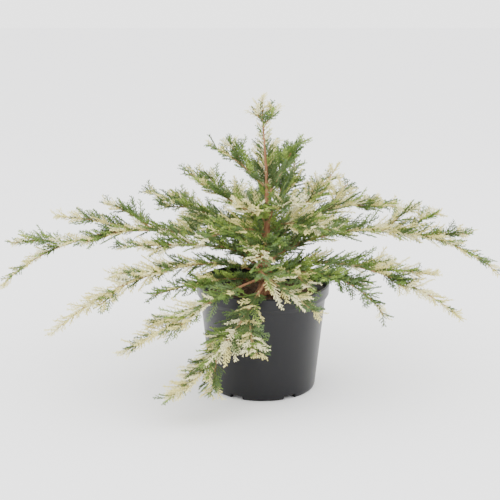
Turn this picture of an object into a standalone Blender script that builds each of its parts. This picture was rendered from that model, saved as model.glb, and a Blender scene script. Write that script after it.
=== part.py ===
"""Potted variegated creeping juniper, as separate solids.

Metres, +Z up. The origin is the centre of the pot's flat underside, +X runs along the
plant's longest shoots and -Y is the side that the low shoots hang over.

A thin nursery pot holds a fill of potting compost. One trunk stands on the compost and
runs up through the crown as its leader. Bare boughs leave the trunk all round, and each
ends where its mass of foliage begins: a stem, the forks that leave it, and twigs and
sprays of needles set along them by a seeded rule.
"""

import math
import random
from collections import namedtuple

import bmesh
import bpy
import numpy as np
from mathutils import Matrix, Vector

MM = 0.001
GAP = 0.3 * MM

# Pot
POT_RIM_RADIUS = 85.0 * MM
POT_HEIGHT = 138.0 * MM
POT_BASE_RADIUS = 67.4 * MM
POT_BAND_HEIGHT = 14.5 * MM
POT_SHOULDER_HEIGHT = 6.0 * MM
POT_SHOULDER_RADIUS = 79.8 * MM
POT_WALL = 1.6 * MM
POT_TURN_STEPS = 30
FOOT_HEIGHT = 6.0 * MM
FOOT_WIDTH = 6.5 * MM
BOSS_RADIUS = 32.0 * MM
NOTCH_COUNT = 6
NOTCH_WIDTH = 17.0 * MM
NOTCH_HEIGHT = 5.4 * MM
DRAIN_HOLE_RADIUS = 4.5 * MM
DRAIN_CIRCLE_RADIUS = 46.0 * MM

# Compost
SOIL_TOP = 121.0 * MM
SOIL_EDGE_DROP = 3.0 * MM
SOIL_CROWN_RADIUS = 20.0 * MM

# Trunk
TRUNK_FOOT = SOIL_TOP + GAP
TRUNK_TIP = 335.0 * MM
TRUNK_FLARE_RADIUS = 10.5 * MM
TRUNK_RADIUS = 7.0 * MM
TRUNK_TIP_RADIUS = 0.9 * MM
TRUNK_FLARE_HEIGHT = 14.0 * MM
TRUNK_LEAN = 5.0 * MM
FLARE_LOBES = 4
FLARE_LOBE_DEPTH = 0.16

# Limbs
LIMB_RADIUS = 1.3 * MM
LIMB_GROWTH = 0.0035
STEM_TIP_RADIUS = 0.7 * MM
STEM_STEP = 26.0 * MM
STEM_LEAD = 4.0 * MM
LIMB_STEP = 12.0 * MM
TIP_HANDLE = 0.95

# Twigs and sprays
TWIG_PITCH = 30.0 * MM
TWIG_LENGTH = 34.0 * MM
LONG_SPRAY = 31.0 * MM
LONG_FORK = 75.0 * MM
TWIG_ANGLE = 44.0
SPRAY_RADIUS = 0.95 * MM
NEEDLE_REACH = 3.4 * MM
NEEDLE_LEAN = 0.14
SHORT_SPRAY_RINGS = ((0.60, 0.8),)
LONG_SPRAY_RINGS = ((0.38, 1.0), (0.72, 0.8))
FORK_ROOT_RADIUS = 1.15 * MM
SPACE_MARGIN = 0.8 * MM
FLOOR_CLEARANCE = 8.0 * MM
PATH_STEP = 3.0 * MM

# A shoot leaves the trunk at foot mm up, along heading degrees and rise degrees, and holds
# that line for longer where spring is greater. Its tip lies at bearing degrees, reach mm
# out and height mm up, and points tilt degrees up. The first bare mm of it are a bough.
# Headings are counted from +X towards +Y. A fork is (place along the shoot from 0 to 1,
# turn to the left in degrees, lift in degrees, length in mm).
Shoot = namedtuple("Shoot", "name foot heading rise spring bearing reach height tilt bare cream forks")

SHOOTS = (
    Shoot("left_long", 155, 166, 42, 340, 173, 344, 119, -50, 40, 0.5,
          ((0.40, -24, 34, 76), (0.46, -12, 16, 112), (0.70, -14, 24, 84), (0.52, 34, -6, 46))),
    Shoot("left_front", 150, 204, 28, 280, 200, 271, 99, -42, 38, 0.8,
          ((0.40, 30, 8, 50), (0.52, -34, 20, 48), (0.66, 34, -8, 38))),
    Shoot("left_middle", 166, 188, 32, 170, 181, 182, 184, -2, 34, 0.4,
          ((0.50, -36, 20, 44), (0.60, 36, -4, 40))),
    Shoot("left_low", 138, 226, 26, 130, 212, 158, 143, -14, 34, 0.3,
          ((0.50, 36, 0, 40),)),
    Shoot("left_rising", 178, 150, 46, 170, 158, 163, 243, 22, 36, 0.3,
          ((0.40, 34, 4, 62), (0.58, -34, 0, 44), (0.64, 30, -14, 40))),
    Shoot("left_upper", 196, 128, 60, 120, 146, 122, 270, 38, 30, 0.3,
          ((0.46, 40, 6, 48), (0.58, -36, 12, 38))),
    Shoot("right_long", 164, 20, 34, 300, 12, 315, 134, -42, 40, 0.45,
          ((0.50, 24, 54, 52), (0.58, 20, 50, 54), (0.66, 16, 18, 68), (0.48, -32, -4, 44))),
    Shoot("right_back", 182, 38, 38, 230, 34, 240, 200, -22, 38, 0.5,
          ((0.46, 32, 40, 50), (0.58, -34, -4, 46))),
    Shoot("right_front", 150, 346, 28, 250, 340, 252, 118, -34, 36, 0.75,
          ((0.44, 30, 14, 50), (0.48, 20, 6, 92), (0.60, -30, -6, 38))),
    Shoot("right_low", 140, 316, 38, 180, 320, 185, 129, -52, 34, 0.05,
          ((0.46, -34, 6, 44), (0.58, 34, 4, 40))),
    Shoot("right_upper", 190, 24, 56, 110, 32, 110, 270, 44, 30, 0.6,
          ((0.46, -42, 0, 48), (0.60, 34, 4, 30))),
    Shoot("right_tall", 205, 70, 66, 90, 62, 92, 276, 58, 30, 0.3,
          ((0.46, -36, 8, 38), (0.52, 38, 8, 36))),
    Shoot("front_hanging", 132, 280, 38, 370, 233, 190, 37, -14, 104, 0.6,
          ((0.45, 62, 14, 60), (0.52, 104, 20, 50), (0.55, -44, 30, 34), (0.60, -30, 8, 42),
           (0.70, 60, -34, 46), (0.72, -24, 20, 40), (0.84, -14, 10, 34))),
    Shoot("front_left", 142, 262, 18, 330, 216, 208, 84, -30, 98, 0.6,
          ((0.58, 34, 0, 42), (0.64, -30, 14, 46))),
    Shoot("front_right", 160, 254, 18, 390, 303, 120, 126, -30, 92, 0.5,
          ((0.74, 28, 16, 28),)),
    Shoot("front_low_right", 150, 300, 34, 110, 302, 104, 152, -34, 30, 0.3,
          ((0.46, -34, 8, 32), (0.50, 34, 0, 30))),
    Shoot("back_right", 156, 56, 30, 230, 60, 236, 150, -36, 38, 0.5,
          ((0.42, 34, 10, 58), (0.58, -34, 6, 50))),
    Shoot("back_middle", 148, 96, 30, 220, 92, 246, 134, -40, 38, 0.6,
          ((0.40, 36, 8, 60), (0.48, -36, 6, 60), (0.66, 30, 0, 42))),
    Shoot("back_left", 166, 126, 32, 240, 122, 240, 148, -36, 38, 0.4,
          ((0.42, 34, 8, 58), (0.56, -34, 8, 50))),
    Shoot("back_rising", 186, 100, 46, 140, 104, 140, 232, 16, 34, 0.4,
          ((0.48, 36, 4, 46), (0.56, -36, 6, 40))),
    Shoot("leader_left", 262, 190, 44, 60, 182, 66, 312, 12, 0, 0.3,
          ((0.46, -36, 24, 32),)),
    Shoot("leader_right", 254, 350, 62, 60, 356, 49, 319, 48, 0, 0.1,
          ((0.35, 44, -4, 32), (0.45, -40, 0, 26))),
    Shoot("leader_back", 246, 84, 56, 60, 80, 58, 305, 40, 0, 0.4,
          ((0.40, -40, 4, 28),)),
    Shoot("leader_tip", 335, 200, 84, 12, 180, 2, 373, 86, 0, 0.95,
          ((0.10, 180, -60, 22), (0.20, 0, -50, 15))),
    Shoot("upright_front_left", 216, 236, 54, 50, 232, 52, 246, 30, 0, 0.9,
          ((0.40, 40, 0, 28),)),
    Shoot("upright_front_right", 226, 306, 50, 50, 314, 60, 248, 26, 0, 0.7,
          ((0.40, -38, 0, 30),)),
    Shoot("heart_front", 186, 272, 34, 80, 268, 84, 186, -24, 0, 0.4,
          ((0.35, 40, 4, 40), (0.40, -40, 4, 40))),
    Shoot("heart_front_left", 200, 222, 36, 90, 216, 94, 206, -8, 0, 0.2,
          ((0.38, 38, 0, 40), (0.44, -38, 4, 38))),
    Shoot("heart_front_right", 206, 328, 36, 90, 334, 96, 214, -6, 0, 0.5,
          ((0.38, 38, 4, 40), (0.44, -38, 0, 38))),
)

COLOURS = {
    "pot_plastic": ((0.020, 0.020, 0.023), 0.42),
    "compost": ((0.045, 0.026, 0.016), 0.95),
    "bark": ((0.230, 0.105, 0.052), 0.85),
    "foliage_green": ((0.075, 0.150, 0.045), 0.60),
    "foliage_cream": ((0.640, 0.600, 0.330), 0.60),
}


def clear_scene():
    for thing in list(bpy.data.objects):
        bpy.data.objects.remove(thing, do_unlink=True)


def new_collection(name):
    collection = bpy.data.collections.new(name)
    bpy.context.scene.collection.children.link(collection)
    return collection


def make_material(name):
    colour, roughness = COLOURS[name]
    material = bpy.data.materials.new(name)
    material.use_nodes = True
    shader = material.node_tree.nodes["Principled BSDF"]
    shader.inputs["Base Color"].default_value = (*colour, 1.0)
    shader.inputs["Roughness"].default_value = roughness
    shader.inputs["Metallic"].default_value = 0.0
    return material


def add_object(name, mesh, collection, material=None):
    thing = bpy.data.objects.new(name, mesh)
    collection.objects.link(thing)
    if material:
        thing.data.materials.append(material)
    return thing


def mesh_from_curve(curve_object):
    """The curve as a welded mesh object in its place; the curve is removed."""
    graph = bpy.context.evaluated_depsgraph_get()
    mesh = bpy.data.meshes.new_from_object(curve_object.evaluated_get(graph))
    shape = bmesh.new()
    shape.from_mesh(mesh)
    bmesh.ops.remove_doubles(shape, verts=shape.verts, dist=0.01 * MM)
    bmesh.ops.recalc_face_normals(shape, faces=shape.faces)
    shape.to_mesh(mesh)
    shape.free()
    name = curve_object.name
    collection = curve_object.users_collection[0]
    bpy.data.objects.remove(curve_object, do_unlink=True)
    return add_object(name, mesh, collection)


def swept_limb(name, points, radii, resolution, collection):
    """A tapering round limb through the points: a poly spline with a bevel and filled caps."""
    curve = bpy.data.curves.new(name, "CURVE")
    curve.dimensions = "3D"
    curve.bevel_depth = 1.0
    curve.bevel_resolution = resolution
    curve.use_fill_caps = True
    spline = curve.splines.new("POLY")
    spline.points.add(len(points) - 1)
    for place, point, radius in zip(spline.points, points, radii):
        place.co = (*point, 1.0)
        place.radius = radius
    return mesh_from_curve(add_object(name, curve, collection))


def turned(name, profile, collection, material):
    """A closed profile of (radius, height) points, outer side first, turned about Z."""
    shape = bmesh.new()
    corners = [shape.verts.new((radius, 0.0, height)) for radius, height in profile]
    for first, second in zip(corners, corners[1:]):
        shape.edges.new((first, second))
    mesh = bpy.data.meshes.new(name)
    shape.to_mesh(mesh)
    shape.free()
    thing = add_object(name, mesh, collection, material)
    screw = thing.modifiers.new("Turn", "SCREW")
    screw.steps = POT_TURN_STEPS
    screw.render_steps = POT_TURN_STEPS
    screw.use_merge_vertices = True
    screw.merge_threshold = 0.05 * MM
    screw.use_smooth_shade = False
    return thing


def pot_radius(height):
    """The pot's outer radius at a height."""
    band_foot = POT_HEIGHT - POT_BAND_HEIGHT
    if height >= band_foot - POT_SHOULDER_HEIGHT:
        return POT_RIM_RADIUS
    share = max(height, 0.0) / (band_foot - POT_SHOULDER_HEIGHT)
    return POT_BASE_RADIUS + share * (POT_SHOULDER_RADIUS - POT_BASE_RADIUS)


def add_pot(collection, cutters, material):
    """A thin round pot with a rim band, a foot ring with notches and drain holes in its floor."""
    band_foot = POT_HEIGHT - POT_BAND_HEIGHT
    shoulder = band_foot - POT_SHOULDER_HEIGHT
    foot_inner = POT_BASE_RADIUS - FOOT_WIDTH
    floor_top = FOOT_HEIGHT + POT_WALL
    chamfer = 1.0 * MM
    corner_height = 5.0 * MM
    slope = (POT_SHOULDER_RADIUS - POT_BASE_RADIUS) / shoulder
    profile = (
        (POT_RIM_RADIUS - chamfer, POT_HEIGHT),
        (POT_RIM_RADIUS, POT_HEIGHT - chamfer),
        (POT_RIM_RADIUS - 0.8 * MM, band_foot),
        (POT_SHOULDER_RADIUS, shoulder),
        (POT_BASE_RADIUS + slope * corner_height, corner_height),
        (POT_BASE_RADIUS - 0.5 * MM, 1.2 * MM),
        (POT_BASE_RADIUS - 2.0 * MM, 0.0),
        (foot_inner, 0.0),
        (foot_inner - chamfer, FOOT_HEIGHT),
        (BOSS_RADIUS + chamfer, FOOT_HEIGHT),
        (BOSS_RADIUS, 0.0),
        (0.0, 0.0),
        (0.0, POT_WALL),
        (BOSS_RADIUS - POT_WALL, POT_WALL),
        (BOSS_RADIUS - POT_WALL, floor_top),
        (POT_BASE_RADIUS + slope * floor_top - POT_WALL, floor_top),
        (POT_SHOULDER_RADIUS - POT_WALL, shoulder),
        (POT_RIM_RADIUS - 0.8 * MM - POT_WALL, band_foot),
        (POT_RIM_RADIUS - chamfer - POT_WALL, POT_HEIGHT),
        (POT_RIM_RADIUS - chamfer, POT_HEIGHT),
    )
    pot = turned("pot", profile, collection, material)
    for index in range(NOTCH_COUNT):
        angle = math.radians(360.0 / NOTCH_COUNT * index)
        notch = box_cutter(f"notch_cutter_{index}", angle, cutters)
        cut(pot, notch)
        hole = hole_cutter(f"drain_cutter_{index}", angle, cutters)
        cut(pot, hole)
    return pot


def box_cutter(name, angle, cutters):
    """A block across the foot ring at an angle about Z."""
    depth = 4.0 * FOOT_WIDTH
    shape = bmesh.new()
    bmesh.ops.create_cube(shape, size=1.0)
    bmesh.ops.scale(shape, verts=shape.verts, vec=(depth, NOTCH_WIDTH, 2.0 * NOTCH_HEIGHT))
    mesh = bpy.data.meshes.new(name)
    shape.to_mesh(mesh)
    shape.free()
    cutter = add_object(name, mesh, cutters)
    middle = POT_BASE_RADIUS
    cutter.location = (middle * math.cos(angle), middle * math.sin(angle), 0.0)
    cutter.rotation_euler = (0.0, 0.0, angle)
    hide_cutter(cutter)
    return cutter


def hole_cutter(name, angle, cutters):
    """A round peg through the pot's floor at an angle about Z."""
    shape = bmesh.new()
    bmesh.ops.create_cone(shape, cap_ends=True, segments=12, depth=4.0 * POT_WALL,
                          radius1=DRAIN_HOLE_RADIUS, radius2=DRAIN_HOLE_RADIUS)
    mesh = bpy.data.meshes.new(name)
    shape.to_mesh(mesh)
    shape.free()
    cutter = add_object(name, mesh, cutters)
    middle = DRAIN_CIRCLE_RADIUS
    cutter.location = (middle * math.cos(angle), middle * math.sin(angle), FOOT_HEIGHT)
    hide_cutter(cutter)
    return cutter


def hide_cutter(cutter):
    cutter.hide_render = True
    cutter.display_type = "WIRE"


def cut(target, cutter):
    boolean = target.modifiers.new(cutter.name, "BOOLEAN")
    boolean.operation = "DIFFERENCE"
    boolean.solver = "EXACT"
    boolean.object = cutter


def soil_height(radius):
    """The compost's surface, a flat crown round the trunk that falls to the pot's wall."""
    if radius <= SOIL_CROWN_RADIUS:
        return SOIL_TOP
    wall = POT_SHOULDER_RADIUS - POT_WALL
    share = min((radius - SOIL_CROWN_RADIUS) / (wall - SOIL_CROWN_RADIUS), 1.0)
    return SOIL_TOP - SOIL_EDGE_DROP * share


def add_soil(collection, material):
    """The compost: fills the pot from its floor to a low mound, clear of the wall."""
    shoulder = POT_HEIGHT - POT_BAND_HEIGHT - POT_SHOULDER_HEIGHT
    floor_top = FOOT_HEIGHT + POT_WALL
    slope = (POT_SHOULDER_RADIUS - POT_BASE_RADIUS) / shoulder
    top_radius = POT_SHOULDER_RADIUS - POT_WALL - 2.0 * GAP
    bottom_radius = POT_BASE_RADIUS + slope * floor_top - POT_WALL - 2.0 * GAP
    dish_radius = BOSS_RADIUS - POT_WALL - 2.0 * GAP
    ripple = 0.5 * (top_radius + SOIL_CROWN_RADIUS)
    profile = (
        (0.0, SOIL_TOP),
        (SOIL_CROWN_RADIUS, SOIL_TOP),
        (ripple, soil_height(ripple)),
        (top_radius, SOIL_TOP - SOIL_EDGE_DROP),
        (bottom_radius, floor_top + GAP),
        (dish_radius, floor_top + GAP),
        (dish_radius, POT_WALL + GAP),
        (0.0, POT_WALL + GAP),
    )
    return turned("soil", profile, collection, material)


def trunk_axis(height):
    """The trunk's middle at a height: it leans to +X and comes back under the tip."""
    share = (height - TRUNK_FOOT) / (TRUNK_TIP - TRUNK_FOOT)
    sway = math.sin(math.pi * min(max(share, 0.0), 1.0))
    return Vector((TRUNK_LEAN * sway, 0.4 * TRUNK_LEAN * sway * sway, height))


def trunk_radius(height):
    """True taper from the flare to the leader's tip."""
    share = min(max((height - TRUNK_FOOT) / (TRUNK_TIP - TRUNK_FOOT), 0.0), 1.0)
    plain = TRUNK_RADIUS + (TRUNK_TIP_RADIUS - TRUNK_RADIUS) * share ** 0.72
    rise = min((height - TRUNK_FOOT) / TRUNK_FLARE_HEIGHT, 1.0)
    flare = (TRUNK_FLARE_RADIUS - TRUNK_RADIUS) * (1.0 - rise) ** 2
    return plain + flare


def trunk_heights():
    flare = [TRUNK_FOOT + TRUNK_FLARE_HEIGHT * step / 3.0 for step in range(3)]
    count = 12
    start = TRUNK_FOOT + TRUNK_FLARE_HEIGHT
    return flare + [start + (TRUNK_TIP - start) * step / count for step in range(count + 1)]


def add_trunk(collection, material):
    """The trunk from a flat cut on the compost to the leader's tip, with a lobed root flare."""
    heights = trunk_heights()
    points = [trunk_axis(height) for height in heights]
    radii = [trunk_radius(height) for height in heights]
    trunk = swept_limb("trunk", points, radii, 3, collection)
    for vertex in trunk.data.vertices:
        rise = (vertex.co.z - TRUNK_FOOT) / TRUNK_FLARE_HEIGHT
        if rise < 1.0:
            angle = math.atan2(vertex.co.y, vertex.co.x)
            swell = FLARE_LOBE_DEPTH * (1.0 - max(rise, 0.0)) * math.cos(FLARE_LOBES * angle)
            vertex.co.x *= 1.0 + swell
            vertex.co.y *= 1.0 + swell
    lowest = [vertex for vertex in trunk.data.vertices if vertex.co.z < TRUNK_FOOT + 0.5 * MM]
    for vertex in lowest:
        vertex.co.z = TRUNK_FOOT
    trunk.data.materials.append(material)
    return trunk


def pointing(heading, tilt):
    """A unit vector along a compass heading and a tilt above level, both in degrees."""
    turn = math.radians(heading)
    lift = math.radians(tilt)
    return Vector((math.cos(turn) * math.cos(lift), math.sin(turn) * math.cos(lift), math.sin(lift)))


def hermite(start, start_pull, end, end_pull, share):
    """The point at a share along the curve between two ends with a pull at each."""
    square = share * share
    cube = square * share
    return ((2 * cube - 3 * square + 1) * start + (cube - 2 * square + share) * start_pull
            + (3 * square - 2 * cube) * end + (cube - square) * end_pull)


def even_path(start, start_pull, end, end_pull):
    """Points along the curve, about PATH_STEP apart, and their distance from its start."""
    fine = [hermite(start, start_pull, end, end_pull, step / 400) for step in range(401)]
    runs = [0.0]
    for first, second in zip(fine, fine[1:]):
        runs.append(runs[-1] + (second - first).length)
    length = runs[-1]
    count = max(int(round(length / PATH_STEP)), 2)
    places = np.interp(np.linspace(0.0, length, count + 1), runs, np.arange(401))
    return [hermite(start, start_pull, end, end_pull, float(place) / 400) for place in places], length


class Axis:
    """A curved middle line with a radius at each end."""

    def __init__(self, start, start_pull, end, end_pull, root_radius, tip_radius):
        self.points, self.length = even_path(start, start_pull, end, end_pull)
        self.root_radius = root_radius
        self.tip_radius = tip_radius

    def at(self, run):
        place = min(max(run / self.length, 0.0), 1.0) * (len(self.points) - 1)
        index = min(int(place), len(self.points) - 2)
        return self.points[index].lerp(self.points[index + 1], place - index)

    def along(self, run):
        step = 1.5 * PATH_STEP
        return (self.at(min(run + step, self.length)) - self.at(max(run - step, 0.0))).normalized()

    def radius(self, run):
        return self.root_radius + (self.tip_radius - self.root_radius) * min(run / self.length, 1.0)


def shoot_axis(shoot):
    """The whole line of a shoot, from the trunk's bark to its tip."""
    height = shoot.foot * MM
    root_radius = LIMB_RADIUS + LIMB_GROWTH * shoot.reach * MM
    direction = pointing(shoot.heading, shoot.rise)
    stand_off = trunk_radius(height) + GAP + root_radius * math.sin(math.radians(shoot.rise))
    start = trunk_axis(height) + pointing(shoot.heading, 0.0) * stand_off
    if height >= TRUNK_TIP:
        start = trunk_axis(TRUNK_TIP) + Vector((0.0, 0.0, GAP))
    tip_turn = math.radians(shoot.bearing)
    tip = Vector((math.cos(tip_turn), math.sin(tip_turn), 0.0)) * shoot.reach * MM
    tip.z = shoot.height * MM
    sweep = (shoot.bearing - shoot.heading + 180.0) % 360.0 - 180.0
    tip_direction = pointing(shoot.bearing + 0.8 * sweep, shoot.tilt)
    tip_pull = TIP_HANDLE * (tip - start).length
    return Axis(start, direction * shoot.spring * MM, tip, tip_direction * tip_pull,
                root_radius, STEM_TIP_RADIUS)


def fork_axis(stem, fork):
    """A fork's line: it leaves the stem at its angle and bends towards the stem's way."""
    place, turn, lift, length = fork
    run = place * stem.length
    along = stem.along(run)
    level = Vector((along.x, along.y, 0.0)).normalized()
    heading = math.degrees(math.atan2(level.y, level.x))
    tilt = math.degrees(math.asin(max(-1.0, min(1.0, along.z))))
    leaving = pointing(heading + turn, tilt + lift)
    ending = pointing(heading + 0.55 * turn, tilt + 0.3 * lift)
    start = stem.at(run)
    size = length * MM
    end = start + (leaving + ending).normalized() * size
    return Axis(start, leaving * size, end, ending * size, FORK_ROOT_RADIUS, STEM_TIP_RADIUS)


class Space:
    """The room that each mass may fill: nearer its own lines than any other's."""

    def __init__(self, axes):
        self.lines = {}
        for name, own in axes.items():
            self.lines[name] = np.array([point for axis in own for point in axis.points])
        self.limbs = []

    def add_limb(self, points, radii):
        self.limbs.extend((np.array(point), radius) for point, radius in zip(points, radii))

    def seal(self):
        self.limb_points = np.array([point for point, _ in self.limbs])
        self.limb_radii = np.array([radius for _, radius in self.limbs])

    def allows(self, name, point, radius):
        place = np.array(point)
        own = np.linalg.norm(self.lines[name] - place, axis=1).min()
        for other, line in self.lines.items():
            if other == name:
                continue
            away = np.linalg.norm(line - place, axis=1).min()
            if away - own < 2.0 * radius + SPACE_MARGIN:
                return False
        clear = np.linalg.norm(self.limb_points - place, axis=1) - self.limb_radii
        return clear.min() > radius + SPACE_MARGIN and clear_of_pot(point, radius)


def clear_of_pot(point, radius):
    """Whether a ball lies outside the pot, above its rim or above the compost inside it."""
    reach = math.hypot(point.x, point.y)
    room = radius + SPACE_MARGIN
    if point.z < FLOOR_CLEARANCE + radius:
        return False
    if point.z > POT_HEIGHT + room:
        return True
    if reach > pot_radius(point.z + room) + room:
        return True
    inside = reach + room < POT_SHOULDER_RADIUS - POT_WALL
    return inside and point.z > SOIL_TOP + room


def make_spray_mesh(rings):
    """A spray one unit long up Z: a slim three-sided core with needles in whorls of three.

    The core is one unit in radius at the root, so a spray is scaled to size in all three.
    Each ring is (height, radius) of the core where a whorl ends.
    """
    shape = bmesh.new()
    bmesh.ops.create_circle(shape, cap_ends=True, segments=3, radius=1.0)
    top = shape.faces[:][0]
    for height, radius in rings:
        grown = bmesh.ops.extrude_discrete_faces(shape, faces=[top])
        top = grown["faces"][0]
        size = radius / max(vertex.co.xy.length for vertex in top.verts)
        lift = height - top.calc_center_median().z
        bmesh.ops.scale(shape, verts=top.verts, vec=(size, size, 1.0))
        bmesh.ops.translate(shape, verts=top.verts, vec=(0.0, 0.0, lift))
    sides = [face for face in shape.faces if len(face.verts) == 4]
    tip = bmesh.ops.poke(shape, faces=[top])["verts"][0]
    tip.co = (0.0, 0.0, 1.0)
    for needle in bmesh.ops.poke(shape, faces=sides)["verts"]:
        outward = Vector((needle.co.x, needle.co.y, 0.0)).normalized()
        needle.co += outward * (NEEDLE_REACH / SPRAY_RADIUS)
        needle.co.z += NEEDLE_LEAN
    root = [vertex for vertex in shape.verts if vertex.co.z < 0.001]
    if not any(all(vertex in root for vertex in face.verts) for face in shape.faces):
        shape.faces.new(root)
    bmesh.ops.recalc_face_normals(shape, faces=shape.faces)
    mesh = bpy.data.meshes.new("spray")
    shape.to_mesh(mesh)
    shape.free()
    return mesh


def make_twig_mesh():
    """A three-sided twig one unit long up Z, one unit in radius at its root."""
    shape = bmesh.new()
    bmesh.ops.create_cone(shape, cap_ends=True, segments=3, radius1=1.0, radius2=0.6, depth=1.0)
    bmesh.ops.translate(shape, verts=shape.verts, vec=(0.0, 0.0, 0.5))
    mesh = bpy.data.meshes.new("twig")
    shape.to_mesh(mesh)
    shape.free()
    return mesh


def place_piece(name, mesh, collection, start, direction, length, radius, roll):
    """A copy of a unit piece from start along direction."""
    piece = add_object(name, mesh, collection)
    turn = direction.to_track_quat("Z", "Y").to_matrix().to_4x4()
    spin = Matrix.Rotation(roll, 4, "Z")
    size = Matrix.Diagonal((radius, radius, length, 1.0))
    piece.matrix_world = Matrix.Translation(start) @ turn @ spin @ size
    return piece


def side_way(along, roll, angle):
    """A direction that leaves a line at an angle, rolled about it from level left."""
    level = Vector((0.0, 0.0, 1.0)).cross(along)
    level = level.normalized() if level.length > 0.05 else Vector((1.0, 0.0, 0.0))
    up = along.cross(level)
    outward = level * math.cos(roll) + up * math.sin(roll)
    return along * math.cos(angle) + outward * math.sin(angle)


def twig_length(share, scale):
    """Twigs are longest a third of the way along a line and short at its tip."""
    return scale * (0.42 + 0.58 * math.sin(math.pi * (1.0 - (1.0 - share) ** 1.4) ** 0.8))


def twigs_along(axis, start_run, scale, chance):
    """The seeded rule: (place, direction, length, roll) of each twig along a line."""
    run = start_run + chance.uniform(0.2, 0.7) * TWIG_PITCH
    side = chance.choice((0, 1))
    while run < axis.length - 0.45 * TWIG_PITCH:
        share = (run - start_run) / (axis.length - start_run)
        roll = math.pi * side + math.radians(chance.uniform(-20.0, 62.0)) * (1 if side == 0 else -1)
        angle = math.radians(TWIG_ANGLE + chance.uniform(-9.0, 9.0))
        length = twig_length(share, scale) * chance.uniform(0.78, 1.12)
        yield run, side_way(axis.along(run), roll, angle), length, chance.uniform(0.0, 6.28)
        run += TWIG_PITCH * chance.uniform(0.8, 1.2)
        side = 1 - side


def spray_fits(space, name, start, direction, length):
    """Whether a spray from start keeps to its mass's space, tried at four places along it."""
    width = NEEDLE_REACH + SPRAY_RADIUS
    for share, radius in ((0.3, 0.5 * width), (0.5, width), (0.72, 0.9 * width), (0.97, 0.6 * MM)):
        if not space.allows(name, start + direction * (length * share), radius):
            return False
    return True


def add_spray(unit, collection, start, direction, length, roll):
    kind = "long_spray" if length > LONG_SPRAY else "short_spray"
    place_piece(kind, unit[kind], collection, start, direction, length, SPRAY_RADIUS, roll)


def add_foliage(space, name, axis, start_run, scale, chance, unit, collection):
    """The sprays along a line; one that would leave the mass's space is cut back or skipped."""
    for run, direction, length, roll in twigs_along(axis, start_run, scale, chance):
        start = axis.at(run)
        for size in (length, 0.66 * length):
            if spray_fits(space, name, start, direction, size):
                add_spray(unit, collection, start, direction, size, roll)
                break


def fuse(mass, pieces):
    """Join a stem and its twigs and sprays into one closed body, and drop any loose scrap."""
    boolean = mass.modifiers.new("Fuse", "BOOLEAN")
    boolean.operation = "UNION"
    boolean.operand_type = "COLLECTION"
    boolean.collection = pieces
    boolean.solver = "EXACT"
    graph = bpy.context.evaluated_depsgraph_get()
    mesh = bpy.data.meshes.new_from_object(mass.evaluated_get(graph))
    mass.modifiers.clear()
    for piece in list(pieces.objects):
        bpy.data.objects.remove(piece, do_unlink=True)
    shape = bmesh.new()
    shape.from_mesh(mesh)
    keep_largest_body(shape)
    bmesh.ops.triangulate(shape, faces=shape.faces)
    shape.to_mesh(mesh)
    shape.free()
    mass.data = mesh


def keep_largest_body(shape):
    """Drop every body but the one with the most faces, such as scraps and sealed hollows."""
    loose = set(shape.verts)
    bodies = []
    while loose:
        reached = [loose.pop()]
        body = set(reached)
        while reached:
            vertex = reached.pop()
            for edge in vertex.link_edges:
                other = edge.other_vert(vertex)
                if other in loose:
                    loose.remove(other)
                    body.add(other)
                    reached.append(other)
        bodies.append(body)
    bodies.sort(key=len)
    scraps = [vertex for body in bodies[:-1] for vertex in body]
    bmesh.ops.delete(shape, geom=scraps, context="VERTS")


def stem_points(axis, start_run, end_run, step):
    count = max(int(round((end_run - start_run) / step)), 1)
    runs = [start_run + (end_run - start_run) * index / count for index in range(count + 1)]
    return [axis.at(run) for run in runs], [axis.radius(run) for run in runs]


def add_bough(shoot, axis, space, collection, material):
    """The bare limb of a shoot, from the trunk to its mass."""
    points, radii = stem_points(axis, 0.0, shoot.bare * MM, LIMB_STEP)
    bough = swept_limb(f"bough_{shoot.name}", points, radii, 1, collection)
    bough.data.materials.append(material)


def add_mass(shoot, axes, space, unit, collection, pieces, material):
    """A shoot's foliage: its stem, forks and sprays, fused into one body."""
    chance = random.Random(shoot.name)
    stem = axes[0]
    start_run = shoot.bare * MM + GAP if shoot.bare else 0.0
    last_spray = 0.8 * TWIG_LENGTH
    lead_run = start_run + STEM_LEAD
    points, radii = stem_points(stem, lead_run, stem.length - 0.7 * last_spray, STEM_STEP)
    points.insert(0, stem.at(start_run))
    radii.insert(0, stem.radius(start_run))
    mass = swept_limb(f"foliage_{shoot.name}", points, radii, 0, collection)
    add_last_spray(stem, last_spray, unit, pieces, chance)
    add_foliage(space, shoot.name, stem, start_run, TWIG_LENGTH, chance, unit, pieces)
    for fork in axes[1:]:
        add_fork(shoot, fork, space, unit, pieces, chance)
    fuse(mass, pieces)
    mass.data.materials.clear()
    mass.data.materials.append(material)


def add_last_spray(axis, length, unit, pieces, chance):
    """The spray that ends a line at its very tip."""
    start = axis.at(axis.length - length)
    reach = axis.points[-1] - start
    add_spray(unit, pieces, start, reach.normalized(), reach.length, chance.uniform(0.0, 6.28))


def add_fork(shoot, fork, space, unit, pieces, chance):
    """A fork: one straight twig, or two end to end, a spray at its tip and more along it."""
    last_spray = 0.7 * TWIG_LENGTH
    end = fork.length - 0.6 * last_spray
    runs = (0.0, 0.5 * end, end) if fork.length > LONG_FORK else (0.0, end)
    for first, second in zip(runs, runs[1:]):
        start = fork.at(first)
        reach = fork.at(second) - start
        place_piece("fork", unit["twig"], pieces, start, reach.normalized(),
                    reach.length + 0.6 * MM, fork.radius(first), chance.uniform(0.0, 6.28))
    add_last_spray(fork, last_spray, unit, pieces, chance)
    add_foliage(space, shoot.name, fork, 0.2 * fork.length, 0.72 * TWIG_LENGTH, chance, unit, pieces)


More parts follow.
